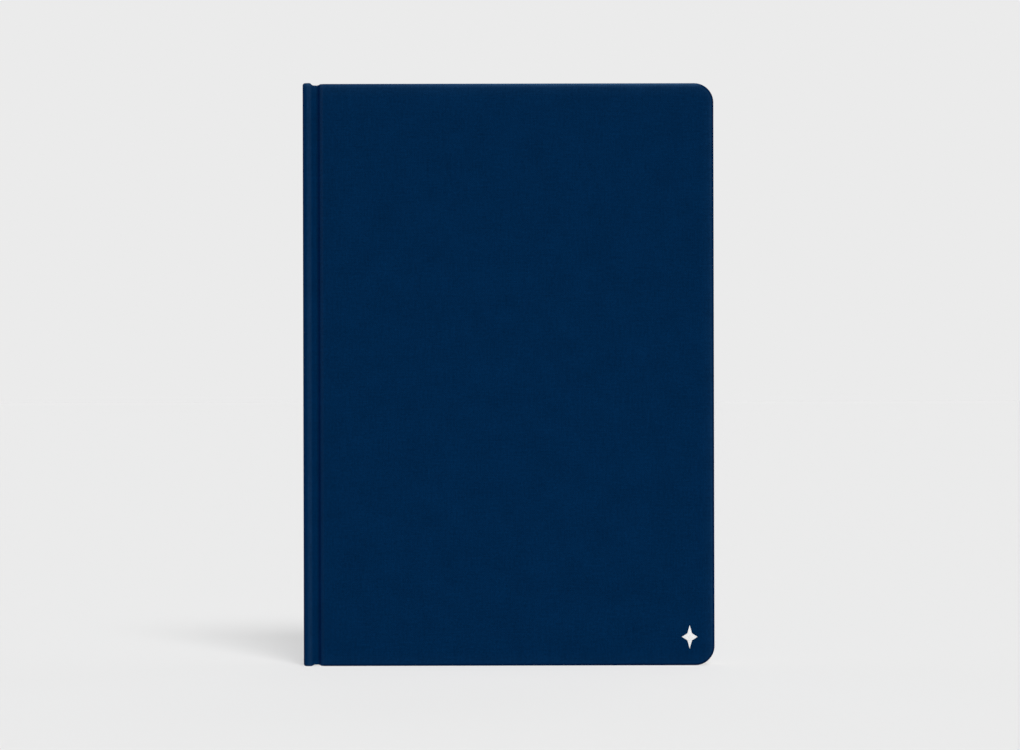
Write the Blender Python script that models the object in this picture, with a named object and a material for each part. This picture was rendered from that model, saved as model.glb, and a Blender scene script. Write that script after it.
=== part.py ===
"""A5 hardcover book in navy cloth, case-bound and sewn, standing on its tail.

Metres, +Z up. X runs from the spine (-X) to the fore edge (+X), and the front cover faces -Y.
Every cover, flyleaf and section of the front half turns about one hinge line beside the spine
strip, and the back half mirrors it.
"""

import math

import bmesh
import bpy
from mathutils import Vector

MM = 0.001

# Driving dimensions, in millimetres
BOOK_WIDTH = 148.0
BOOK_THICKNESS = 15.0
BOOK_HEIGHT = 210.0
BOARD_DROP = 0.3  # how far the boards stop below the spine strip's head
CLOTH = 0.3
BOARD = 1.9
STRIP = 2.15  # the stiff strip in the spine
GAP = 0.05  # between neighbouring layers
CORNER = 7.0  # fore-edge corners of the covers
SQUARE = 3.0  # overhang of the covers past the leaves
SECTION_COUNT = 18
BLOCK_THICKNESS = 9.4
SECTION_GAP = 0.05
PAPER = 0.18  # a pastedown, with its glue
FLYLEAF = 0.15
BACKING = 0.12  # the spine's lining and its mull
THREAD_RADIUS = 0.13
BAND_RADIUS = 0.75

# Places across the book, from the spine face to the fore edge
SPINE_FACE = -BOOK_WIDTH / 2
FORE_EDGE = BOOK_WIDTH / 2
RIDGE_END = SPINE_FACE + 2.7
HINGE_X = RIDGE_END + 0.1
COVER_START = SPINE_FACE + 7.0
BLOCK_SPINE = SPINE_FACE + 3.4
BLOCK_FORE = FORE_EDGE - SQUARE - 0.5
PAGE_CORNER = 5.0

# Places through the book, from the front face inwards
FRONT_FACE = -BOOK_THICKNESS / 2
HINGE_Y = FRONT_FACE + 0.1
BOARD_OUTER = FRONT_FACE + CLOTH + GAP
BOARD_INNER = BOARD_OUTER + BOARD
LINING_OUTER = BOARD_INNER + GAP
LINING_INNER = LINING_OUTER + PAPER
FLYLEAF_OUTER = LINING_INNER + GAP
FLYLEAF_INNER = FLYLEAF_OUTER + FLYLEAF

HEAD = BOOK_HEIGHT - BOARD_DROP  # head edge of the covers
TURN_IN = 3.0
EMBLEM_X = FORE_EDGE - 9.0
EMBLEM_Z = 10.3
EMBLEM_WIDTH = 5.6
EMBLEM_HEIGHT = 8.5
EMBLEM_WAIST = 0.42
FOIL = 0.04
FOIL_GAP = 0.02

NAVY = (0.0008, 0.018, 0.063)
GREY = (0.25, 0.23, 0.20)
CREAM = (0.80, 0.77, 0.68)
ENDPAPER = (0.86, 0.84, 0.79)
WHITE = (0.87, 0.87, 0.86)


def clear_scene():
    for obj in list(bpy.data.objects):
        bpy.data.objects.remove(obj, do_unlink=True)


def material(name, colour, roughness, metallic=0.0):
    made = bpy.data.materials.new(name)
    made.use_nodes = True
    shader = made.node_tree.nodes["Principled BSDF"]
    shader.inputs["Base Color"].default_value = (*colour, 1.0)
    shader.inputs["Roughness"].default_value = roughness
    shader.inputs["Metallic"].default_value = metallic
    return made


def pivot(name, x, y):
    """An empty on a vertical hinge line, which the pieces of a moving body hang from."""
    made = bpy.data.objects.new(name, None)
    made.location = (x * MM, y * MM, 0.0)
    bpy.context.collection.objects.link(made)
    return made


def add_object(name, mesh_builder, look, parent, smooth=False):
    """One named piece. The builder works in world millimetres, and the mesh is stored from the parent."""
    bmesh.ops.recalc_face_normals(mesh_builder, faces=mesh_builder.faces)
    for face in mesh_builder.faces:
        face.smooth = smooth
    bmesh.ops.scale(mesh_builder, vec=Vector((MM, MM, MM)), verts=mesh_builder.verts)
    if parent:
        bmesh.ops.translate(mesh_builder, vec=-parent.location, verts=mesh_builder.verts)
    mesh = bpy.data.meshes.new(name)
    mesh_builder.to_mesh(mesh)
    mesh_builder.free()
    mesh.materials.append(look)
    made = bpy.data.objects.new(name, mesh)
    made.parent = parent
    bpy.context.collection.objects.link(made)
    return made


def rounded_outline(left, right, bottom, top, radius, steps=8):
    """Corners of a rectangle in X and Z whose right-hand corners are round, anticlockwise from the front."""
    points = [(left, top), (left, bottom)]
    for centre_z, start in ((bottom + radius, -90), (top - radius, 0)):
        for step in range(steps + 1):
            angle = math.radians(start + 90 * step / steps)
            points.append((right - radius + radius * math.cos(angle), centre_z + radius * math.sin(angle)))
    return points


def add_ring(builder, points, y):
    return [builder.verts.new((x, y, z)) for x, z in points]


def join_rings(builder, first, second):
    count = len(first)
    for i in range(count):
        after = (i + 1) % count
        builder.faces.new((first[i], first[after], second[after], second[i]))


def plate(left, right, bottom, top, y_near, y_far, radius):
    """A flat sheet or board with round fore-edge corners."""
    builder = bmesh.new()
    outline = rounded_outline(left, right, bottom, top, radius)
    near = add_ring(builder, outline, y_near)
    far = add_ring(builder, outline, y_far)
    join_rings(builder, near, far)
    builder.faces.new(near)
    builder.faces.new(list(reversed(far)))
    return builder


def extruded(profile, bottom, top):
    """A profile in X and Y, drawn out along Z."""
    builder = bmesh.new()
    low = [builder.verts.new((x, y, bottom)) for x, y in profile]
    high = [builder.verts.new((x, y, top)) for x, y in profile]
    join_rings(builder, low, high)
    builder.faces.new(low)
    builder.faces.new(list(reversed(high)))
    return builder


def mirror_back(points):
    return [(x, -y) for x, y in reversed(points)]


def cover_cloth(side):
    """Cloth of one board: outer face, rounded edges and a turned-in lip on the three outer edges."""
    rings = (
        # inset at the joint, inset at the other edges, depth from the outer face
        (0.9, 0.9, 0.0),
        (0.35, 0.35, 0.12),
        (0.0, 0.0, 0.6),
        (0.0, 0.0, 2.0),
        (0.05, 0.25, BOARD_INNER - FRONT_FACE),
        (0.10, 0.6, LINING_INNER - FRONT_FACE),
        (0.20, TURN_IN, LINING_INNER - FRONT_FACE),
        (0.25, TURN_IN, LINING_OUTER - FRONT_FACE),
        (CLOTH, CLOTH + 0.05, LINING_OUTER - FRONT_FACE),
        (CLOTH, CLOTH, CLOTH),
    )
    joint_top = BOARD_INNER - FRONT_FACE
    builder = bmesh.new()
    made = []
    for joint_inset, inset, depth in rings:
        outline = rounded_outline(
            COVER_START + joint_inset,
            FORE_EDGE - inset,
            inset,
            HEAD - inset,
            CORNER - inset,
        )
        ring = add_ring(builder, outline, side * (BOOK_THICKNESS / 2 - depth))
        for vert in ring[:2]:
            vert.co.y = side * (BOOK_THICKNESS / 2 - min(depth, joint_top))
        made.append(ring)
    for first, second in zip(made, made[1:]):
        join_rings(builder, first, second)
    builder.faces.new(made[0])
    builder.faces.new(made[-1])
    bmesh.ops.triangulate(builder, faces=[f for f in builder.faces if len(f.verts) == 4])
    return builder


def star_outline():
    """A four-point compass star in X and Z."""
    points = []
    for step in range(8):
        angle = math.radians(45 * step)
        reach = 0.5 if step % 2 == 0 else 0.5 * EMBLEM_WAIST
        x = EMBLEM_X + EMBLEM_WIDTH * reach * math.cos(angle)
        z = EMBLEM_Z + EMBLEM_HEIGHT * reach * math.sin(angle)
        points.append((x, z))
    return points


def foil_star():
    """The emblem's foil, which lies on the front cloth."""
    builder = bmesh.new()
    outline = star_outline()
    near = add_ring(builder, outline, FRONT_FACE - FOIL_GAP - FOIL)
    far = add_ring(builder, outline, FRONT_FACE - FOIL_GAP)
    join_rings(builder, near, far)
    builder.faces.new(near)
    builder.faces.new(list(reversed(far)))
    return builder


def joint_profile(side):
    """The pressed joint in X and Y: plateau beside the ridge, then the groove, then the climb to the board."""
    outer = [
        (HINGE_X + 0.3, 0.45),
        (SPINE_FACE + 4.7, 0.5),
        (SPINE_FACE + 5.2, 1.15),
        (SPINE_FACE + 5.7, 1.5),
        (SPINE_FACE + 6.2, 1.25),
        (COVER_START - 0.12, 0.85),
    ]
    inner = [
        (COVER_START - 0.12, 0.85 + CLOTH),
        (SPINE_FACE + 6.3, 1.3 + CLOTH),
        (SPINE_FACE + 5.7, 1.5 + CLOTH),
        (SPINE_FACE + 4.95, 1.25 + CLOTH),
        (SPINE_FACE + 4.5, 0.55 + CLOTH),
        (HINGE_X + 0.3, 0.45 + CLOTH),
    ]
    return [(x, side * (BOOK_THICKNESS / 2 - depth)) for x, depth in outer + inner]


def arc(centre_x, centre_y, radius, start, end, steps=6):
    return [
        (
            centre_x + radius * math.cos(math.radians(start + (end - start) * step / steps)),
            centre_y + radius * math.sin(math.radians(start + (end - start) * step / steps)),
        )
        for step in range(steps + 1)
    ]


def spine_cloth():
    """Cloth round the spine strip, closed over its head and tail. Its long edges stand up as two ridges."""
    round_edge = 1.2
    half = BOOK_THICKNESS / 2
    front = [(RIDGE_END, -half + 0.35)]
    front += arc(RIDGE_END - 0.5, -half + 0.5, 0.5, -60, -90, 2)
    front += arc(SPINE_FACE + round_edge, -half + round_edge, round_edge, -90, -180)
    outline = front + mirror_back(front)
    inner_half = half - CLOTH - GAP
    inner = [
        (RIDGE_END, inner_half),
        (SPINE_FACE + CLOTH + 0.5, inner_half),
        (SPINE_FACE + CLOTH, inner_half - 0.5),
        (SPINE_FACE + CLOTH, 0.5 - inner_half),
        (SPINE_FACE + CLOTH + 0.5, -inner_half),
        (RIDGE_END, -inner_half),
    ]
    builder = bmesh.new()
    shell = outline + inner
    low = [builder.verts.new((x, y, CLOTH)) for x, y in shell]
    high = [builder.verts.new((x, y, BOOK_HEIGHT - CLOTH)) for x, y in shell]
    join_rings(builder, low, high)
    for ring, edge_z in ((low, 0.0), (high, BOOK_HEIGHT)):
        cap = [builder.verts.new((v.co.x, v.co.y, edge_z)) for v in ring[: len(outline)]]
        for i in range(len(outline) - 1):
            builder.faces.new((ring[i], ring[i + 1], cap[i + 1], cap[i]))
        near, far = ring[0], ring[len(outline) - 1]
        builder.faces.new((far, ring[len(outline)], ring[-1], near, cap[0], cap[-1]))
        builder.faces.new(cap)
        builder.faces.new(ring[len(outline):])
    return builder


def sewing_thread(parent, look):
    """One thread that crosses the section folds at each sewing station and runs along the spine between them."""
    stations = (12.0, 45.0, 82.0, 128.0, 165.0, 198.0)
    reach = BLOCK_THICKNESS / 2 - 0.3
    x = BLOCK_SPINE - 0.3
    route = []
    for index, z in enumerate(stations):
        side = 1 if index % 2 == 0 else -1
        route.append((x, -side * reach, z))
        route.append((x, side * reach, z))
    curve = bpy.data.curves.new("sewing_thread", "CURVE")
    curve.dimensions = "3D"
    curve.bevel_depth = THREAD_RADIUS * MM
    curve.bevel_resolution = 1
    curve.use_fill_caps = True
    spline = curve.splines.new("POLY")
    spline.points.add(len(route) - 1)
    for point, place in zip(spline.points, route):
        point.co = (*(Vector(place) * MM), 1.0)
    curve.materials.append(look)
    made = bpy.data.objects.new("sewing_thread", curve)
    made.parent = parent
    bpy.context.collection.objects.link(made)


def band(z):
    """A sewn head or tail band: a round bead along the spine end of the leaves."""
    centre_x = BLOCK_SPINE + 0.35
    side = 1 if z > BOOK_HEIGHT / 2 else -1
    centre_z = z + side * (BAND_RADIUS + GAP)
    profile = [
        (
            centre_x + BAND_RADIUS * math.cos(math.radians(angle)),
            centre_z + BAND_RADIUS * math.sin(math.radians(angle)),
        )
        for angle in range(0, 360, 30)
    ]
    builder = bmesh.new()
    reach = BLOCK_THICKNESS / 2
    near = [builder.verts.new((x, -reach, z_at)) for x, z_at in profile]
    far = [builder.verts.new((x, reach, z_at)) for x, z_at in profile]
    join_rings(builder, near, far)
    builder.faces.new(near)
    builder.faces.new(list(reversed(far)))
    return builder


def build_spine(navy, board_look, paper_look, weave_look, thread_look):
    add_object("spine_cloth", spine_cloth(), navy, None)
    strip_left = SPINE_FACE + CLOTH + GAP
    half = BOOK_THICKNESS / 2 - CLOTH - 2 * GAP
    strip = [
        (strip_left + 0.5, -half),
        (strip_left + STRIP, -half),
        (strip_left + STRIP, half),
        (strip_left + 0.5, half),
        (strip_left, half - 0.5),
        (strip_left, 0.5 - half),
    ]
    add_object("spine_board", extruded(strip, CLOTH + GAP, BOOK_HEIGHT - CLOTH - GAP), board_look, None)
    lining_x = strip_left + STRIP + GAP
    mull_x = lining_x + BACKING + GAP
    reach = BLOCK_THICKNESS / 2 - 0.1
    for name, x, margin, look in (
        ("spine_lining", lining_x, 6.0, paper_look),
        ("spine_mull", mull_x, 10.0, weave_look),
    ):
        sheet = [(x, -reach), (x + BACKING, -reach), (x + BACKING, reach), (x, reach)]
        add_object(name, extruded(sheet, margin, BOOK_HEIGHT - margin), look, None)
    sewing_thread(None, thread_look)
    add_object("head_band", band(HEAD - SQUARE), thread_look, None, smooth=True)
    add_object("tail_band", band(SQUARE), thread_look, None, smooth=True)


def build_cover(name, side, navy, board_look, paper_look):
    """Board, its cloth, the joint cloth and the pastedown of one cover. Side is -1 in front, 1 behind."""
    hinge = pivot(f"{name}_cover_hinge", HINGE_X, -side * HINGE_Y)
    add_object(f"{name}_cover_cloth", cover_cloth(side), navy, hinge)
    inset = CLOTH + GAP
    board = plate(
        COVER_START + inset,
        FORE_EDGE - inset,
        inset,
        HEAD - inset,
        -side * BOARD_OUTER,
        -side * BOARD_INNER,
        CORNER - inset,
    )
    add_object(f"{name}_cover_board", board, board_look, hinge)
    add_object(
        f"{name}_joint_cloth",
        extruded(joint_profile(side), 0.6, BOOK_HEIGHT - 0.6),
        navy,
        hinge,
    )
    inset = TURN_IN + GAP
    lining = plate(
        BLOCK_SPINE + 0.3,
        FORE_EDGE - inset,
        inset,
        HEAD - inset,
        -side * LINING_OUTER,
        -side * LINING_INNER,
        CORNER - inset,
    )
    add_object(f"{name}_pastedown", lining, paper_look, hinge)
    return hinge


def build_leaves(name, side, first_number, endpaper_look, paper_look):
    """Flyleaf and sections of one half. Each hangs from its own empty on the half's hinge line."""
    bottom = SQUARE
    top = HEAD - SQUARE
    hinge = pivot(f"{name}_flyleaf_hinge", HINGE_X, -side * HINGE_Y)
    flyleaf = plate(
        BLOCK_SPINE + 0.3, BLOCK_FORE, bottom, top, -side * FLYLEAF_OUTER, -side * FLYLEAF_INNER, PAGE_CORNER
    )
    add_object(f"{name}_flyleaf", flyleaf, endpaper_look, hinge)
    pitch = BLOCK_THICKNESS / SECTION_COUNT
    for step in range(SECTION_COUNT // 2):
        number = first_number + step
        near = -BLOCK_THICKNESS / 2 + (number - 1) * pitch + SECTION_GAP / 2
        section = plate(
            BLOCK_SPINE, BLOCK_FORE, bottom, top, near, near + pitch - SECTION_GAP, PAGE_CORNER
        )
        hinge = pivot(f"section_{number:02d}_hinge", HINGE_X, -side * HINGE_Y)
        add_object(f"section_{number:02d}", section, paper_look, hinge)


def main():
    clear_scene()
    navy = material("navy_cloth", NAVY, 0.75)
    board_look = material("greyboard", GREY, 0.9)
    endpaper_look = material("endpaper", ENDPAPER, 0.8)
    page_look = material("page_paper", CREAM, 0.85)
    weave_look = material("mull_weave", WHITE, 0.95)
    thread_look = material("linen_thread", WHITE, 0.7)
    foil_look = material("white_foil", WHITE, 0.4)
    build_spine(navy, board_look, endpaper_look, weave_look, thread_look)
    front_hinge = build_cover("front", -1, navy, board_look, endpaper_look)
    build_cover("back", 1, navy, board_look, endpaper_look)
    add_object("foil_emblem", foil_star(), foil_look, front_hinge)
    build_leaves("front", -1, 1, endpaper_look, page_look)
    build_leaves("back", 1, SECTION_COUNT // 2 + 1, endpaper_look, page_look)


main()
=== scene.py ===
"""Looks of the hardcover logbook: cloth, boards, endpapers, leaves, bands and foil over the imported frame.

Lengths are in metres, or in millimetres where a name or a comment says so. Places come from the boxes of
the frame's nodes. "Depth" is a distance from the outer face of a cover towards the middle of the book, so
that one function makes the front and the back.
"""

import math
import random

import bmesh
import bpy
import numpy as np
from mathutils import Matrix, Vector


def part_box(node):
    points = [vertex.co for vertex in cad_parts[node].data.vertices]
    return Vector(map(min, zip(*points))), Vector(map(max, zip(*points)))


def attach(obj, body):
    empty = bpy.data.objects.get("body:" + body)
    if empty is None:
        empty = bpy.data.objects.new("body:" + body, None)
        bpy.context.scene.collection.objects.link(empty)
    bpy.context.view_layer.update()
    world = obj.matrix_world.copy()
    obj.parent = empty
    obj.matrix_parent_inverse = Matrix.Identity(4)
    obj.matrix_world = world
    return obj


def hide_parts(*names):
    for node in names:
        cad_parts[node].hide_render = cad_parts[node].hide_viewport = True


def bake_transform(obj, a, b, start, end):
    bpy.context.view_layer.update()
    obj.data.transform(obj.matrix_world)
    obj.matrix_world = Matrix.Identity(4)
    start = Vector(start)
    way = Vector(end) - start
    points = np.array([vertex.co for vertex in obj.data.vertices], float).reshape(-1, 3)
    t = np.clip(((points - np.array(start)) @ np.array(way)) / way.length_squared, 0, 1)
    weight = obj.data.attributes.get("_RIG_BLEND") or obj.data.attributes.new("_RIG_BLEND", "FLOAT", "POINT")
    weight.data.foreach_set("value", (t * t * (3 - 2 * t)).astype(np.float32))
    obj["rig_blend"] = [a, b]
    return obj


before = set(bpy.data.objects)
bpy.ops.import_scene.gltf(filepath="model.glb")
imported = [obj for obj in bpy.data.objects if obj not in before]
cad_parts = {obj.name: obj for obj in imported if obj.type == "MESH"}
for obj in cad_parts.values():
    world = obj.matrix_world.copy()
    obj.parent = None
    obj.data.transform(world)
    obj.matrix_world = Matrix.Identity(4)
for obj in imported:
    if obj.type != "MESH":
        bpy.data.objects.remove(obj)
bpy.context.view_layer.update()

MM = 0.001

# The frame's places
SPINE_LOW, SPINE_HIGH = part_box("spine_cloth")
COVER_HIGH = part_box("front_cover_cloth")[1]
FLYLEAF_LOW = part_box("front_flyleaf")[0]
EMBLEM_LOW, EMBLEM_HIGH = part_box("foil_emblem")
HALF = SPINE_HIGH.y
SPINE_FACE = SPINE_LOW.x
FORE_EDGE = COVER_HIGH.x
HEAD = COVER_HIGH.z
SPINE_HEAD = SPINE_HIGH.z
HALVES = ((-1, "front"), (1, "back"))

CORNER = 7.0 * MM
BOARD_DEPTH = 2.3 * MM
BOARD_START = SPINE_FACE + 7.4 * MM  # from here on the case turns with its cover
SHARP_ANGLE = math.radians(55)

# Camera and studio
IMAGE_WIDTH = 367.2 * MM  # what the image spans at the front cover
CAMERA_DISTANCE = 1.2
CAMERA_X = 0.52 * MM
CAMERA_HEIGHT = 104.7 * MM
CAMERA_ROLL = math.radians(0.13)
SENSOR_MM = 36.0
BACKGROUND = 0.831
FLOOR_ALBEDO = 0.5
FLOOR_REACH = 12.0
AMBIENT_SHARE = 0.03
# Name, azimuth from the front towards the right, elevation, angle, share of the floor's light, shadows
LIGHTS = (
    ("key", 16.0, 49.0, 20.0, 0.25, True),
    ("overhead", 0.0, 68.0, 14.0, 0.12, False),
    ("back_fill", 170.0, 35.0, 40.0, 0.10, False),
    ("left_fill", -102.0, 32.0, 40.0, 0.16, False),
    ("right_fill", 102.0, 32.0, 40.0, 0.04, False),
)


# ---------------------------------------------------------------- small helpers


def place(side, x, depth, z):
    """A point of the front (side -1) or back (side 1) half, at a depth from the cover's outer face."""
    return Vector((x, side * (HALF - depth), z))


def smooth_path(points, steps):
    """Catmull-Rom curve through the points, with so many steps between each two."""
    ends = [2 * np.array(points[0]) - np.array(points[1]), 2 * np.array(points[-1]) - np.array(points[-2])]
    padded = [ends[0], *[np.array(p) for p in points], ends[1]]
    path = []
    for before, start, end, after in zip(padded, padded[1:], padded[2:], padded[3:]):
        for step in range(steps):
            t = step / steps
            point = 2 * start + (end - before) * t
            point = point + (2 * before - 5 * start + 4 * end - after) * t**2
            point = point + (3 * start - before - 3 * end + after) * t**3
            path.append(0.5 * point)
    path.append(padded[-2])
    return path


def mesh_object(name, builder, look):
    """Makes the object of a finished bmesh, facing out, smooth but for its sharp edges, with one material."""
    bmesh.ops.remove_doubles(builder, verts=builder.verts, dist=1e-7)
    bmesh.ops.recalc_face_normals(builder, faces=builder.faces)
    mesh = bpy.data.meshes.new(name)
    builder.to_mesh(mesh)
    builder.free()
    mesh.shade_smooth()
    mesh.set_sharp_from_angle(angle=SHARP_ANGLE)
    mesh.materials.append(look)
    made = bpy.data.objects.new(name, mesh)
    bpy.context.collection.objects.link(made)
    return made


def point_layer(mesh, name, values):
    """Stores one vector for each vertex, for the materials to read."""
    layer = mesh.attributes.new(name, "FLOAT_VECTOR", "POINT")
    layer.data.foreach_set("vector", np.array(values, np.float32).ravel())


def rest_layer(made):
    """Keeps the rest position in millimetres, so that a pattern stays put when the piece bends."""
    point_layer(made.data, "rest", [vert.co * 1000 for vert in made.data.vertices])


# ---------------------------------------------------------------- node helpers


class Nodes:
    """Short calls for building a material's nodes."""

    def __init__(self, name):
        self.material = bpy.data.materials.new(name)
        self.material.use_nodes = True
        self.tree = self.material.node_tree
        self.shader = self.tree.nodes["Principled BSDF"]

    def add(self, kind, **settings):
        node = self.tree.nodes.new(kind)
        for key, value in settings.items():
            setattr(node, key, value)
        return node

    def feed(self, node, socket, value):
        if isinstance(value, bpy.types.NodeSocket):
            self.tree.links.new(value, node.inputs[socket])
        else:
            node.inputs[socket].default_value = value

    def math(self, operation, first, second=0.0, third=None):
        node = self.add("ShaderNodeMath", operation=operation)
        self.feed(node, 0, first)
        self.feed(node, 1, second)
        if third is not None:
            self.feed(node, 2, third)
        return node.outputs[0]

    def layer(self, name):
        return self.add("ShaderNodeAttribute", attribute_name=name).outputs["Vector"]

    def parts(self, vector):
        node = self.add("ShaderNodeSeparateXYZ")
        self.feed(node, 0, vector)
        return node.outputs

    def stretched(self, vector, scale):
        node = self.add("ShaderNodeMapping")
        self.feed(node, "Vector", vector)
        node.inputs["Scale"].default_value = scale
        return node.outputs[0]

    def noise(self, vector, scale, detail=3.0, roughness=0.55):
        node = self.add("ShaderNodeTexNoise")
        self.feed(node, "Vector", vector)
        node.inputs["Scale"].default_value = scale
        node.inputs["Detail"].default_value = detail
        node.inputs["Roughness"].default_value = roughness
        return node.outputs["Fac"]

    def mix(self, share, first, second):
        node = self.add("ShaderNodeMix", data_type="RGBA")
        self.feed(node, 0, share)
        self.feed(node, 6, first)
        self.feed(node, 7, second)
        return node.outputs[2]

    def scaled_colour(self, colour, factor):
        """The colour times a varying factor."""
        node = self.add("ShaderNodeVectorMath", operation="SCALE")
        self.feed(node, 0, colour if isinstance(colour, bpy.types.NodeSocket) else colour[:3])
        self.feed(node, "Scale", factor)
        return node.outputs[0]

    def bump(self, height, strength, distance):
        node = self.add("ShaderNodeBump")
        self.feed(node, "Height", height)
        node.inputs["Strength"].default_value = strength
        node.inputs["Distance"].default_value = distance
        self.tree.links.new(node.outputs[0], self.shader.inputs["Normal"])

    def wave(self, coordinate, pitch, shift=0.0):
        """A sine along a coordinate, with half a turn for each pitch."""
        turned = self.math("MULTIPLY", coordinate, math.pi / pitch)
        return self.math("SINE", self.math("ADD", turned, shift))

    def varied(self, tone, value, middle, share):
        """The tone, changed by a share of how far a value is from its middle."""
        return self.math("MULTIPLY_ADD", self.math("SUBTRACT", value, middle), share, tone)

    def line(self, coordinate, at, width):
        """1 within half a width of a place, else 0."""
        gap = self.math("ABSOLUTE", self.math("SUBTRACT", coordinate, at))
        return self.math("LESS_THAN", gap, width / 2)


# ---------------------------------------------------------------- materials

NAVY = (0.0002, 0.0189, 0.0670, 1.0)
# Painted highlight: a paler navy for where the cloth's rounded edges catch the light
NAVY_PAINTED_HIGHLIGHT = (0.030, 0.082, 0.175, 1.0)
# Painted shade: a darker navy for the groove, the spine's face and the rims' turn
NAVY_PAINTED_SHADE = (0.0, 0.0035, 0.034, 1.0)
PAGE = (0.80, 0.765, 0.66, 1.0)
RULE = (0.36, 0.46, 0.58, 1.0)
ENDPAPER = (0.79, 0.77, 0.71, 1.0)
GREY = (0.25, 0.23, 0.20, 1.0)
COTTON_DARK = (0.45, 0.42, 0.36, 1.0)
COTTON_LIGHT = (0.85, 0.83, 0.77, 1.0)
LINEN = (0.82, 0.80, 0.74, 1.0)
SILK_LIGHT = (0.80, 0.79, 0.75, 1.0)
SILK_NAVY = (0.004, 0.02, 0.07, 1.0)
WHITE_FOIL = (0.97, 0.97, 0.965, 1.0)

THREAD_PITCH_MM = 0.40
# How much the weave, slubs, mottle and grain change the cloth's tone
WEAVE_SHARE = 0.05
SLUB_SHARE = 0.34
MOTTLE_SHARE = 0.36
GRAIN_SHARE = 0.45

# The ledger ruling, in millimetres
ROW_PITCH_MM = 7.0
RULE_MM = 0.22
COLUMNS_MM = (-38.0, -16.0, 6.0, 18.0, 30.0, 42.0)
HEADING_Z_MM = 189.8
HEADING_MM = 0.5
RULED_X_MM = (2.0, 61.0)  # middle of the ruled area and its reach each way
RULED_Z_MM = (105.0, 92.0)


def book_cloth():
    """Fine plain-woven navy book cloth, with a painted highlight on its ridge, rims and head edge, and
    painted shade in the groove, on the spine's face and at the rims' turn.
    """
    m = Nodes("navy_book_cloth")
    across, along, painted_light = m.parts(m.layer("cloth"))
    # The cloth layer's third value is painted light: above 0 a painted highlight, below 0 painted shade
    painted_highlight = m.math("MAXIMUM", painted_light, 0.0)
    painted_shade = m.math("MAXIMUM", m.math("MULTIPLY", painted_light, -1.0), 0.0)
    flat = m.add("ShaderNodeCombineXYZ")
    m.feed(flat, 0, across)
    m.feed(flat, 1, along)
    sheet = flat.outputs[0]
    wobble = m.math("MULTIPLY", m.noise(sheet, 0.6, 2.0), 1.6)
    warp = m.wave(across, THREAD_PITCH_MM, wobble)
    weft = m.wave(along, THREAD_PITCH_MM, wobble)
    weave = m.math("MULTIPLY", warp, weft)
    slubs_up = m.noise(m.stretched(sheet, (2.2, 0.12, 1.0)), 1.0)
    slubs_across = m.noise(m.stretched(sheet, (0.12, 2.2, 1.0)), 1.0)
    slubs = m.math("ADD", slubs_up, slubs_across)
    tone = m.math("MULTIPLY_ADD", weave, WEAVE_SHARE, 1.0)
    tone = m.varied(tone, slubs, 1.0, SLUB_SHARE)
    tone = m.varied(tone, m.noise(sheet, 0.09, 4.0, 0.6), 0.5, MOTTLE_SHARE)
    tone = m.varied(tone, m.noise(sheet, 1.1, 1.0), 0.5, GRAIN_SHARE)
    # The painted highlight, broken up by the slubs, then the painted shade, over the navy
    painted_highlight_mix = m.math("MULTIPLY", painted_highlight, m.math("MULTIPLY_ADD", slubs, 0.6, 0.4))
    colour = m.mix(painted_shade, m.mix(painted_highlight_mix, NAVY, NAVY_PAINTED_HIGHLIGHT), NAVY_PAINTED_SHADE)
    m.feed(m.shader, "Base Color", m.scaled_colour(colour, tone))
    m.shader.inputs["Roughness"].default_value = 0.68
    m.shader.inputs["Specular IOR Level"].default_value = 0.06
    m.shader.inputs["Specular Tint"].default_value = (0.01, 0.25, 1.0, 1.0)
    m.bump(m.math("MULTIPLY_ADD", slubs, 0.8, weave), 0.35, 0.05 * MM)
    return m.material


def paper(name, colour):
    """Uncoated paper with a faint fibre cloud and tooth."""
    m = Nodes(name)
    rest = m.layer("rest")
    tone = m.varied(1.0, m.noise(rest, 0.35, 4.0), 0.5, 0.05)
    m.feed(m.shader, "Base Color", m.scaled_colour(colour, tone))
    m.shader.inputs["Roughness"].default_value = 0.82
    m.shader.inputs["Specular IOR Level"].default_value = 0.3
    m.bump(m.noise(rest, 6.0), 0.12, 0.04 * MM)
    return m


def ledger_lines(m):
    """1 on the lines of a plain ledger: rows, a few columns and a heading line, with no lettering."""
    x, _, z = m.parts(m.layer("rest"))
    row = m.math("FRACT", m.math("DIVIDE", z, ROW_PITCH_MM))
    lines = m.math("LESS_THAN", row, RULE_MM / ROW_PITCH_MM)
    for at in COLUMNS_MM:
        lines = m.math("MAXIMUM", lines, m.line(x, at, RULE_MM))
    lines = m.math("MAXIMUM", lines, m.line(z, HEADING_Z_MM, HEADING_MM))
    for coordinate, (centre, reach) in ((x, RULED_X_MM), (z, RULED_Z_MM)):
        lines = m.math("MULTIPLY", lines, m.line(coordinate, centre, 2 * reach))
    return lines


def ruled_page():
    """Cream leaf with a ledger ruling. Each leaf has a tone of its own."""
    m = paper("ruled_page", PAGE)
    tone = m.add("ShaderNodeAttribute", attribute_name="leaf_tone").outputs["Fac"]
    blank = m.shader.inputs["Base Color"].links[0].from_socket
    inked = m.mix(m.math("MULTIPLY", ledger_lines(m), 0.75), blank, RULE)
    m.feed(m.shader, "Base Color", m.scaled_colour(inked, tone))
    return m.material


def greyboard():
    m = Nodes("raw_greyboard")
    fibres = m.noise(m.add("ShaderNodeTexCoord").outputs["Object"], 900.0, 5.0, 0.7)
    tone = m.math("MULTIPLY_ADD", fibres, 0.5, 0.75)
    m.feed(m.shader, "Base Color", m.scaled_colour(GREY, tone))
    m.shader.inputs["Roughness"].default_value = 0.92
    m.bump(fibres, 0.4, 0.1 * MM)
    return m.material


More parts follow.
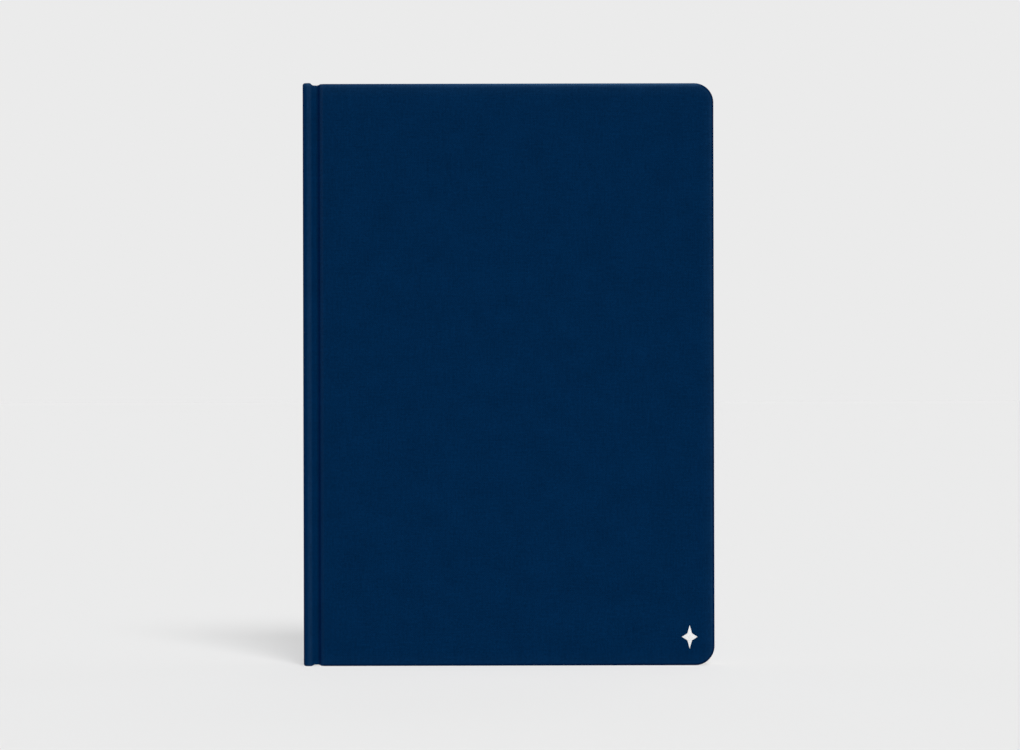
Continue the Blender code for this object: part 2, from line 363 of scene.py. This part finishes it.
def gauze():
    """Open cotton weave under glue."""
    m = Nodes("mull_gauze")
    _, y, z = m.parts(m.add("ShaderNodeTexCoord").outputs["Object"])
    threads = m.math("MAXIMUM", m.wave(y, 0.9 * MM), m.wave(z, 0.9 * MM))
    colour = m.mix(m.math("MULTIPLY_ADD", threads, 0.5, 0.5), COTTON_DARK, COTTON_LIGHT)
    m.feed(m.shader, "Base Color", colour)
    m.shader.inputs["Roughness"].default_value = 0.9
    m.bump(threads, 0.6, 0.2 * MM)
    return m.material


def thread(name, colour):
    """Twisted thread: slanting ply lines and a soft sheen."""
    m = Nodes(name)
    x, y, z = m.parts(m.add("ShaderNodeTexCoord").outputs["Object"])
    slant = m.math("ADD", m.math("ADD", x, y), z)
    ply = m.wave(slant, 0.18 * MM)
    m.feed(m.shader, "Base Color", m.scaled_colour(colour, m.math("MULTIPLY_ADD", ply, 0.10, 0.90)))
    m.shader.inputs["Roughness"].default_value = 0.7
    m.shader.inputs["Sheen Weight"].default_value = 0.15
    m.bump(ply, 0.4, 0.04 * MM)
    return m.material


def foil():
    """Matt white stamping foil, which takes a trace of the cloth's weave."""
    m = Nodes("white_foil")
    rest = m.layer("rest")
    x, _, z = m.parts(rest)
    weave = m.math("MULTIPLY", m.wave(x, THREAD_PITCH_MM), m.wave(z, THREAD_PITCH_MM))
    tone = m.math("MULTIPLY_ADD", m.noise(rest, 3.0), 0.06, 0.96)
    m.feed(m.shader, "Base Color", m.scaled_colour(WHITE_FOIL, tone))
    m.shader.inputs["Roughness"].default_value = 0.42
    m.bump(weave, 0.15, 0.03 * MM)
    return m.material


# ---------------------------------------------------------------- the case: boards and spine in one cloth

# The frame's places in millimetres, which this section works in until a vertex or a blend is placed
HALF_MM = HALF / MM
SPINE_FACE_MM = SPINE_FACE / MM
FORE_EDGE_MM = FORE_EDGE / MM
HEAD_MM = HEAD / MM
SPINE_HEAD_MM = SPINE_HEAD / MM
CORNER_MM = CORNER / MM
BOARD_DEPTH_MM = BOARD_DEPTH / MM
CORNER_CENTRE_MM = FORE_EDGE_MM - CORNER_MM

RIDGE_RADIUS = 1.25
# Distance from the spine face and depth of the cloth's outer side, from ridge to board
JOINT_OUTER = (
    (RIDGE_RADIUS, 0.0),
    (2.1, 0.02),
    (2.75, 0.26),
    (3.3, 0.46),
    (4.2, 0.50),
    (4.8, 0.56),
    (5.15, 0.86),
    (5.45, 1.30),
    (5.8, 1.52),
    (6.25, 1.32),
    (6.75, 0.80),
    (7.2, 0.30),
    (7.6, 0.06),
    (8.3, 0.0),
)
# The inner side, point for point
JOINT_INNER = (
    (2.52, 0.95),
    (2.60, 0.90),
    (2.85, 0.84),
    (3.3, 0.84),
    (4.2, 0.90),
    (4.65, 0.98),
    (4.95, 1.28),
    (5.3, 1.66),
    (5.8, 1.88),
    (6.3, 1.80),
    (6.75, 2.02),
    (7.1, 2.25),
    (7.65, 2.30),
    (8.3, 2.30),
)
SPINE_INNER = 2.52
SPINE_INNER_DEPTH = 0.95
SPINE_COLUMNS = 4
RIDGE_COLUMNS = 7
FOLD_STEPS = 5
BOARD_COLUMNS = 16
CORNER_COLUMNS = 40
LONG_ROWS = 24
EDGE_STEPS = (0.0, 0.06, 0.16, 0.32, 0.55, 0.80, 1.1, 1.6, 2.4, 3.5, 5.0)  # distances in from an edge
OUTER_ROUND = 0.85
INNER_ROUND = 0.42
ROUND_LIMIT = 0.46  # the most that a rounding may take of the thickness
RIDGE_END = 2.9
RIDGE_END_STEEPNESS = 9

# Humps of shape, of painted highlight or of painted shade: height, centre and half width
JOINT_DIP = (0.55, 4.6, 1.35)
PLEAT = (0.17, 1.9, 1.0)
PLEATS = 5
PLEAT_SHARPNESS = 0.7
# Painted highlight along the rounded ridge beside the spine
RIDGE_HIGHLIGHT = (0.15, 2.3, 0.85)
# Painted shade down in the groove between ridge and board
GROOVE_SHADE = (0.70, 5.85, 0.36)
# Painted shade over the spine's face and its turn onto the ridge
SPINE_FACE_SHADE = (0.8, 0.0, 0.5)
# Painted highlight on the rounding of the boards' rims
RIM_HIGHLIGHT = (0.16, 0.85, 0.35)
# Painted shade at the very turn of the boards' rims
RIM_SHADE = (1.1, 0.0, 0.5)
# Painted highlight along the head edge
HEAD_HIGHLIGHT = (1.0, 0.0, 0.8)
# Painted highlight that fades in from an edge: strength and fading length
RIM_HIGHLIGHT_HAZE = (0.12, 2.4)
HEAD_HIGHLIGHT_HAZE = (0.15, 1.9)
END_FADE = 2.5
HEAD_FADE = 1.5
BOARD_REACH = 7  # where the board's rim begins
# The head edge's painted highlight: its share at the spine, how much it grows, and the distance over which it
# grows towards the fore edge
HEAD_HIGHLIGHT_LEAST = 0.2
HEAD_HIGHLIGHT_GROWTH = 0.75
HEAD_HIGHLIGHT_REACH = 90


def hump(value, shape, power=2):
    """A smooth hump. Its shape is a height, a centre and a half width."""
    height, centre, half_width = shape
    return height * math.exp(-(((value - centre) / half_width) ** power))


def fade(distance, length):
    """1 at an edge, fading over a length in from it."""
    return math.exp(-distance / length)


def case_columns():
    """Outer and inner points of the case's columns, from the middle of the spine to the corners' start."""
    spine_depths = np.linspace(HALF_MM, RIDGE_RADIUS, SPINE_COLUMNS + 1)[:-1]
    outer = [(0.0, depth) for depth in spine_depths]
    inner = [(SPINE_INNER, max(depth, SPINE_INNER_DEPTH)) for depth in spine_depths]
    for step in range(RIDGE_COLUMNS):
        angle = math.radians(90 * step / RIDGE_COLUMNS)
        outer.append((RIDGE_RADIUS * (1 - math.cos(angle)), RIDGE_RADIUS * (1 - math.sin(angle))))
        above = (RIDGE_RADIUS - SPINE_INNER_DEPTH) * (1 - step / RIDGE_COLUMNS)
        inner.append((SPINE_INNER, SPINE_INNER_DEPTH + above))
    outer += smooth_path(JOINT_OUTER, FOLD_STEPS)
    inner += smooth_path(JOINT_INNER, FOLD_STEPS)
    corner_start = CORNER_CENTRE_MM - SPINE_FACE_MM
    for x in np.linspace(JOINT_OUTER[-1][0], corner_start, BOARD_COLUMNS + 1)[1:]:
        outer.append((x, 0.0))
        inner.append((x, BOARD_DEPTH_MM))
    return outer, inner


def head_and_tail(reach):
    """Where the cloth ends at head and tail, at a distance from the spine face."""
    dip = hump(reach, JOINT_DIP, 4)
    past_ridge = 1 / (1 + math.exp(-(reach - RIDGE_END) * RIDGE_END_STEEPNESS))
    head = SPINE_HEAD_MM - past_ridge * (SPINE_HEAD_MM - HEAD_MM) - dip
    return head, dip


def rounding(edge, thickness, radius):
    """Share of the half thickness left at a distance in from an edge that is rounded to a radius."""
    radius = min(radius, ROUND_LIMIT * thickness)
    if edge >= radius:
        return 1.0
    return 1 - radius / (thickness / 2) * (1 - math.sqrt(1 - (1 - edge / radius) ** 2))


def rim_painted_light(edge, z, to_head):
    """Painted light along a board's edges: a painted highlight clear of head and tail, and painted shade at
    the turn except at the head.
    """
    clear_of_ends = (1 - fade(z, END_FADE)) * (1 - fade(to_head, END_FADE))
    strength, length = RIM_HIGHLIGHT_HAZE
    highlighted = hump(edge, RIM_HIGHLIGHT) + strength * fade(edge, length)
    return clear_of_ends * highlighted - (1 - fade(to_head, HEAD_FADE)) * hump(edge, RIM_SHADE)


def painted_light_at(reach, edge, z):
    """How much painted highlight (above 0) or painted shade (below 0) the cloth gets, at distances from spine
    face and edge.
    """
    to_head = HEAD_MM - z
    painted_light = hump(reach, RIDGE_HIGHLIGHT, 4) - hump(reach, GROOVE_SHADE) - hump(reach, SPINE_FACE_SHADE)
    if reach > BOARD_REACH:
        painted_light += rim_painted_light(edge, z, to_head)
    head_strength = HEAD_HIGHLIGHT_LEAST + HEAD_HIGHLIGHT_GROWTH * min(1.0, reach / HEAD_HIGHLIGHT_REACH)
    strength, length = HEAD_HIGHLIGHT_HAZE
    return painted_light + head_strength * hump(to_head, HEAD_HIGHLIGHT) + strength * fade(to_head, length)


def pleat_at(share, edge):
    """Height of the small pleats that gather the turned-in cloth round a corner, at a share of its arc."""
    along = math.sin(math.pi * share) * abs(math.sin(PLEATS * math.pi * share)) ** PLEAT_SHARPNESS
    return along * hump(edge, PLEAT, 4)


class CaseSkin:
    """One half of the case, from the middle of the spine to the fore edge, as one closed skin.

    It is made of lines of pairs. A pair is the outer and the inner vertex of one place.
    """

    def __init__(self, side):
        self.side = side
        self.builder = bmesh.new()
        self.cloth = self.builder.verts.layers.float_vector.new("cloth")
        self.outer, self.inner = case_columns()
        self.run = [0.0]
        for first, second in zip(self.outer, self.outer[1:]):
            self.run.append(self.run[-1] + math.dist(first, second))

    def vertex(self, point, z, across, painted_light):
        """One vertex, which carries its place on the flat cloth and its painted light: painted highlight
        above 0, painted shade below 0.
        """
        made = self.builder.verts.new(place(self.side, point[0] * MM, point[1] * MM, z * MM))
        made[self.cloth] = (across, z, painted_light)
        return made

    def pair(self, outer_point, inner_point, z, edge, across, pleat=0.0):
        """The two vertices of one place, drawn together near an edge. The inner one carries its pleat."""
        outer_end = np.array([SPINE_FACE_MM + outer_point[0], outer_point[1]])
        inner_end = np.array([SPINE_FACE_MM + inner_point[0], inner_point[1]])
        middle = (outer_end + inner_end) / 2
        half = (outer_end - inner_end) / 2
        thickness = 2 * float(np.linalg.norm(half))
        outside = middle + rounding(edge, thickness, OUTER_ROUND) * half
        inside = middle - rounding(edge, thickness, INNER_ROUND) * half
        inside[1] += pleat
        # The outer vertex takes its painted highlight or painted shade; the inner one takes its pleat's
        # height, as a painted highlight on the pleats' crests
        painted_light = painted_light_at(outer_point[0], edge, z)
        return self.vertex(outside, z, across, painted_light), self.vertex(inside, z, across, pleat)

    def board_pair(self, x, z, edge, pleat=0.0):
        """A pair on the flat of the board, beyond the straight columns."""
        reach = x - SPINE_FACE_MM
        across = self.run[-1] + x - CORNER_CENTRE_MM
        return self.pair((reach, 0.0), (reach, BOARD_DEPTH_MM), z, edge, across, pleat)

    def straight_column(self, index):
        """All the pairs of a straight column, head to tail."""
        outer_point, inner_point, across = self.outer[index], self.inner[index], self.run[index]
        head, tail = head_and_tail(outer_point[0])
        inset = EDGE_STEPS[-1]
        rows = [(head - edge, edge) for edge in EDGE_STEPS]
        rows += [(z, inset) for z in np.linspace(head - inset, tail + inset, LONG_ROWS + 1)[1:-1]]
        rows += [(tail + edge, edge) for edge in reversed(EDGE_STEPS)]
        return [self.pair(outer_point, inner_point, z, edge, across) for z, edge in rows]

    def corner_column(self, step):
        """A column whose ends follow the round corners."""
        share = step / CORNER_COLUMNS
        angle = math.radians(90 - 90 * share)
        ends = []
        for edge in EDGE_STEPS:
            radius = CORNER_MM - edge
            ends.append((CORNER_CENTRE_MM + radius * math.cos(angle), radius * math.sin(angle), edge))
        top_centre = HEAD_MM - CORNER_MM
        rows = [(x, top_centre + rise, edge) for x, rise, edge in ends]
        last_x, last_rise, last_edge = ends[-1]
        levels = np.linspace(top_centre + last_rise, CORNER_MM - last_rise, LONG_ROWS + 1)[1:-1]
        rows += [(last_x, z, last_edge) for z in levels]
        rows += [(x, CORNER_MM - rise, edge) for x, rise, edge in reversed(ends)]
        return [self.board_pair(x, z, edge, pleat_at(share, edge)) for x, z, edge in rows]

    def fore_edge_lines(self, last):
        """Lines of pairs along the straight fore edge, from the last column's straight stretch outwards."""
        edge_count = len(EDGE_STEPS)
        lines = [last[edge_count - 1 : len(last) - edge_count + 1]]
        levels = [outside.co.z / MM for outside, _ in lines[0][1:-1]]
        for index in reversed(range(edge_count - 1)):
            edge = EDGE_STEPS[index]
            between = [self.board_pair(FORE_EDGE_MM - edge, z, edge) for z in levels]
            lines.append([last[index], *between, last[len(last) - 1 - index]])
        return lines

    def cover(self, first, second):
        """The outer and inner faces between two neighbouring lines."""
        for row in range(len(first) - 1):
            for layer in (0, 1):
                here, beside = first[row][layer], second[row][layer]
                beside_below, below = second[row + 1][layer], first[row + 1][layer]
                self.builder.faces.new((here, beside, beside_below, below))

    def close(self, first, second):
        """The face across the thickness between two neighbouring pairs."""
        self.builder.faces.new((first[0], first[1], second[1], second[0]))

    def build(self):
        columns = [self.straight_column(index) for index in range(len(self.outer))]
        columns += [self.corner_column(step) for step in range(1, CORNER_COLUMNS + 1)]
        for first, second in zip(columns, columns[1:]):
            self.cover(first, second)
            self.close(first[0], second[0])
            self.close(first[-1], second[-1])
        lines = self.fore_edge_lines(columns[-1])
        for first, second in zip(lines, lines[1:]):
            self.cover(first, second)
        # The fore edge, and the cut along the middle of the spine where the two halves meet
        for line in (lines[-1], columns[0]):
            for first, second in zip(line, line[1:]):
                self.close(first, second)
        return self.builder


def build_case(look):
    hinge_x = SPINE_HIGH.x + 0.05 * MM
    for side, half in HALVES:
        case = mesh_object(f"{half}_case", CaseSkin(side).build(), look)
        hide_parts(f"{half}_cover_cloth", f"{half}_joint_cloth", "spine_cloth")
        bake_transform(case, "spine", f"{half}_cover", start=(hinge_x, 0, 0), end=(BOARD_START, 0, 0))


# ---------------------------------------------------------------- paper

LEAVES = 4
LEAF_FILL = 0.88  # share of a leaf's room that its paper fills
LEAF_SWAY = 0.10 * MM
LEAF_INSET = 0.07 * MM
LEAF_DROP = 0.06 * MM
LEAF_TONE = 0.93  # the darkest tone that a leaf may have
LEAF_BEND = 16 * MM
SECTION_BLEND = 15 * MM
PAGE_CORNER = 5.0 * MM
ENDPAPER_THICKNESS = 0.12 * MM
ENDPAPER_LAP = 0.25 * MM
ENDPAPER_BLEND_START = -0.2 * MM
PASTEDOWN_DEPTH = BOARD_DEPTH + 0.02 * MM
PASTEDOWN_CORNER = 4 * MM
PASTEDOWN_BEND = 9 * MM
FLYLEAF_DEPTH = HALF - abs(FLYLEAF_LOW.y)
FLYLEAF_BEND = 14 * MM
FLYLEAF_BLEND = 12 * MM
BEND_COLUMNS = 25
FLAT_COLUMNS = 5
ARC_COLUMNS = 14
SEED = 7


def sheet_mesh(builder, side, area, depth, thickness, radius, bend_reach, tone=1.0):
    """A thin closed sheet with round fore-edge corners and fine columns where it bends.

    Its area is left, right, bottom and top.
    """
    left, right, bottom, top = area
    layers = builder.verts.layers.float
    shade = layers.get("leaf_tone") or layers.new("leaf_tone")
    xs = list(np.linspace(0, bend_reach, BEND_COLUMNS) + left)
    xs += list(np.linspace(left + bend_reach, right - radius, FLAT_COLUMNS + 1)[1:])
    ends = [(x, 0.0) for x in xs]
    for angle in np.linspace(0, math.pi / 2, ARC_COLUMNS + 1)[1:]:
        ends.append((right - radius + radius * math.sin(angle), radius * (1 - math.cos(angle))))
    columns = []
    for x, cut in ends:
        column = []
        for z in (top - cut, bottom + cut):
            for below in (0.0, thickness):
                vert = builder.verts.new(place(side, x, depth + below, z))
                vert[shade] = tone
                column.append(vert)
        columns.append(column)
    for a, b in zip(columns, columns[1:]):
        builder.faces.new((a[0], b[0], b[2], a[2]))
        builder.faces.new((a[1], a[3], b[3], b[1]))
        builder.faces.new((a[0], a[1], b[1], b[0]))
        builder.faces.new((a[2], b[2], b[3], a[3]))
    for end in (columns[0], columns[-1]):
        builder.faces.new((end[0], end[2], end[3], end[1]))


def build_sections(look):
    """Each section as its four leaves, blended from the spine to its own body."""
    rng = random.Random(SEED)
    sections = sorted(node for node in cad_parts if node.startswith("section_"))
    for index, node in enumerate(sections):
        side = -1 if index < len(sections) // 2 else 1
        low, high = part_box(node)
        outer_y = low.y if side < 0 else high.y
        pitch = (high.y - low.y) / LEAVES
        sway = rng.uniform(0.0, 1.0) * LEAF_SWAY
        builder = bmesh.new()
        for leaf in range(LEAVES):
            inset = sway + rng.uniform(0.0, 1.0) * LEAF_INSET
            drop = rng.uniform(0.0, 1.0) * LEAF_DROP
            tone = rng.uniform(LEAF_TONE, 1.0)
            area = (low.x, high.x - inset, low.z + drop, high.z - drop)
            depth = HALF - abs(outer_y) + leaf * pitch
            sheet_mesh(builder, side, area, depth, pitch * LEAF_FILL, PAGE_CORNER, LEAF_BEND, tone)
        made = mesh_object(f"{node}_leaves", builder, look)
        rest_layer(made)
        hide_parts(node)
        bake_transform(made, "spine", node, start=(low.x, 0, 0), end=(low.x + SECTION_BLEND, 0, 0))


def endpaper_sheet(side, node, body, depth, radius, bend_reach, blend_end, look):
    """One half of an endpaper, blended from the spine to its body."""
    low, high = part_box(node)
    area = (low.x - ENDPAPER_LAP, high.x, low.z, high.z)
    builder = bmesh.new()
    sheet_mesh(builder, side, area, depth, ENDPAPER_THICKNESS, radius, bend_reach)
    made = mesh_object(f"{node}_sheet", builder, look)
    rest_layer(made)
    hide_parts(node)
    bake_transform(made, "spine", body, start=(low.x + ENDPAPER_BLEND_START, 0, 0), end=(blend_end, 0, 0))


def build_endpapers(look):
    flyleaf_end = FLYLEAF_LOW.x + FLYLEAF_BLEND
    for side, half in HALVES:
        pastedown = (f"{half}_pastedown", f"{half}_cover", PASTEDOWN_DEPTH, PASTEDOWN_CORNER, PASTEDOWN_BEND)
        endpaper_sheet(side, *pastedown, BOARD_START, look)
        flyleaf = (f"{half}_flyleaf", f"{half}_flyleaf", FLYLEAF_DEPTH, PAGE_CORNER, FLYLEAF_BEND)
        endpaper_sheet(side, *flyleaf, flyleaf_end, look)


# ---------------------------------------------------------------- trim


BAND_TURNS = 22
TURN_STEPS = 6
BAND_SIDES = 14
BAND_RIDGE = 0.10  # share of the radius that a turn of silk rises
SILK_SLANT = 0.10 * MM
EMBLEM_WAIST = 0.42
EMBLEM_CORNERS = 8
FOIL_BEVEL = 0.01 * MM
FOIL_BEVEL_SCALE = 0.97


def band_ring(builder, low, high, share):
    """One ring round a band, at a share of its length."""
    centre_x, centre_z = (low.x + high.x) / 2, (low.z + high.z) / 2
    swell = 1 - BAND_RIDGE + BAND_RIDGE * abs(math.sin(math.pi * BAND_TURNS * share))
    radius = (high.x - low.x) / 2 * swell
    ring = []
    for corner in range(BAND_SIDES):
        angle = 2 * math.pi * corner / BAND_SIDES
        y = low.y + (high.y - low.y) * share + SILK_SLANT * math.sin(angle)
        y = min(max(y, low.y), high.y)
        x = centre_x + radius * math.cos(angle)
        z = centre_z + radius * math.sin(angle)
        ring.append(builder.verts.new((x, y, z)))
    return ring


def join_rings(builder, first, second):
    """The faces between two rings."""
    count = len(first)
    faces = []
    for corner in range(count):
        after = (corner + 1) % count
        faces.append(builder.faces.new((first[corner], first[after], second[after], second[corner])))
    return faces


def build_bands(light_look, dark_look):
    """Head and tail bands: a cord wrapped in light and dark silk, one ridge for each turn."""
    steps = BAND_TURNS * TURN_STEPS
    for node in ("head_band", "tail_band"):
        low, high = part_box(node)
        builder = bmesh.new()
        rings = [band_ring(builder, low, high, step / steps) for step in range(steps + 1)]
        for index, (first, second) in enumerate(zip(rings, rings[1:])):
            for face in join_rings(builder, first, second):
                face.material_index = (index // TURN_STEPS) % 2
        builder.faces.new(rings[0])
        builder.faces.new(rings[-1])
        made = mesh_object(f"{node}_silk", builder, light_look)
        made.data.materials.append(dark_look)
        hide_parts(node)
        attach(made, "spine")


def star_ring(builder, y, grow):
    """The emblem's outline at a depth, as large as its box times a factor."""
    centre = (EMBLEM_LOW + EMBLEM_HIGH) / 2
    half_size = (EMBLEM_HIGH - EMBLEM_LOW) / 2
    ring = []
    for step in range(EMBLEM_CORNERS):
        angle = 2 * math.pi * step / EMBLEM_CORNERS
        reach = grow if step % 2 == 0 else EMBLEM_WAIST * grow
        x = centre.x + half_size.x * reach * math.cos(angle)
        z = centre.z + half_size.z * reach * math.sin(angle)
        ring.append(builder.verts.new((x, y, z)))
    return ring


def build_emblem(look):
    """Four-point compass star in foil, with a fine bevel round its face."""
    builder = bmesh.new()
    back = star_ring(builder, EMBLEM_HIGH.y, 1.0)
    rim = star_ring(builder, EMBLEM_LOW.y + FOIL_BEVEL, 1.0)
    face = star_ring(builder, EMBLEM_LOW.y, FOIL_BEVEL_SCALE)
    join_rings(builder, back, rim)
    join_rings(builder, rim, face)
    builder.faces.new(back)
    builder.faces.new(face)
    made = mesh_object("emblem_foil", builder, look)
    rest_layer(made)
    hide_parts("foil_emblem")
    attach(made, "front_cover")


def dress_frame():
    """Better materials for the CAD nodes that stay."""
    board = greyboard()
    looks = {
        "front_cover_board": board,
        "back_cover_board": board,
        "spine_board": board,
        "spine_mull": gauze(),
        "spine_lining": gauze(),
        "sewing_thread": thread("linen_sewing_thread", LINEN),
    }
    for node, look in looks.items():
        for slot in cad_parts[node].material_slots:
            slot.material = look


# ---------------------------------------------------------------- studio


def surrounding_light(world):
    """The camera sees the plain backdrop, and the object gets a much dimmer light from it."""
    tree = world.node_tree
    path = tree.nodes.new("ShaderNodeLightPath")
    mix = tree.nodes.new("ShaderNodeMix")
    mix.data_type = "FLOAT"
    mix.inputs[2].default_value = AMBIENT_SHARE * BACKGROUND / FLOOR_ALBEDO
    mix.inputs[3].default_value = BACKGROUND
    tree.links.new(path.outputs["Is Camera Ray"], mix.inputs[0])
    background = tree.nodes["Background"]
    background.inputs["Color"].default_value = (1, 1, 1, 1)
    tree.links.new(mix.outputs[0], background.inputs["Strength"])


def studio_floor():
    """A plain pale floor. Part of its tone is its own, so that the shadows stay as faint as a lit sweep's."""
    look = Nodes("studio_floor")
    lit = AMBIENT_SHARE + sum(share for *_, share, _ in LIGHTS)
    grain = look.noise(look.add("ShaderNodeTexCoord").outputs["Object"], 3.0, 2.0)
    tone = look.math("MULTIPLY_ADD", grain, 0.004, 0.998)
    albedo = (FLOOR_ALBEDO, FLOOR_ALBEDO, FLOOR_ALBEDO)
    look.feed(look.shader, "Base Color", look.scaled_colour(albedo, tone))
    look.shader.inputs["Roughness"].default_value = 1.0
    look.shader.inputs["Specular IOR Level"].default_value = 0.0
    look.shader.inputs["Emission Color"].default_value = (1, 1, 1, 1)
    look.shader.inputs["Emission Strength"].default_value = BACKGROUND * (1 - lit)
    builder = bmesh.new()
    corners = ((-1, -1), (1, -1), (1, 1), (-1, 1))
    builder.faces.new([builder.verts.new((x * FLOOR_REACH, y * FLOOR_REACH, 0)) for x, y in corners])
    mesh_object("studio_floor", builder, look.material)


def add_light(name, azimuth, elevation, angle, share, shadows):
    """A far soft light that gives a share of the floor's tone."""
    across, up = math.radians(azimuth), math.radians(elevation)
    towards = Vector((math.sin(across) * math.cos(up), -math.cos(across) * math.cos(up), math.sin(up)))
    light = bpy.data.lights.new(name, "SUN")
    light.energy = share * BACKGROUND / FLOOR_ALBEDO * math.pi / math.sin(up)
    light.angle = math.radians(angle)
    light.use_shadow = shadows
    made = bpy.data.objects.new(name, light)
    made.rotation_euler = towards.to_track_quat("Z", "Y").to_euler()
    bpy.context.collection.objects.link(made)


def build_studio():
    world = bpy.data.worlds.new("studio")
    world.use_nodes = True
    surrounding_light(world)
    bpy.context.scene.world = world
    bpy.context.scene.view_settings.view_transform = "Standard"
    studio_floor()
    for light in LIGHTS:
        add_light(*light)


def build_camera():
    data = bpy.data.cameras.new("camera")
    data.sensor_width = SENSOR_MM
    data.lens = SENSOR_MM * CAMERA_DISTANCE / IMAGE_WIDTH
    data.clip_start = 0.05
    data.clip_end = 60.0
    camera = bpy.data.objects.new("camera", data)
    camera.location = (CAMERA_X, -HALF - CAMERA_DISTANCE, CAMERA_HEIGHT)
    camera.rotation_euler = (math.radians(90), CAMERA_ROLL, 0)
    bpy.context.collection.objects.link(camera)
    bpy.context.scene.camera = camera


def main():
    build_camera()
    build_studio()
    build_case(book_cloth())
    build_sections(ruled_page())
    build_endpapers(paper("endpaper_stock", ENDPAPER).material)
    build_bands(thread("band_light_silk", SILK_LIGHT), thread("band_navy_silk", SILK_NAVY))
    build_emblem(foil())
    dress_frame()


main()
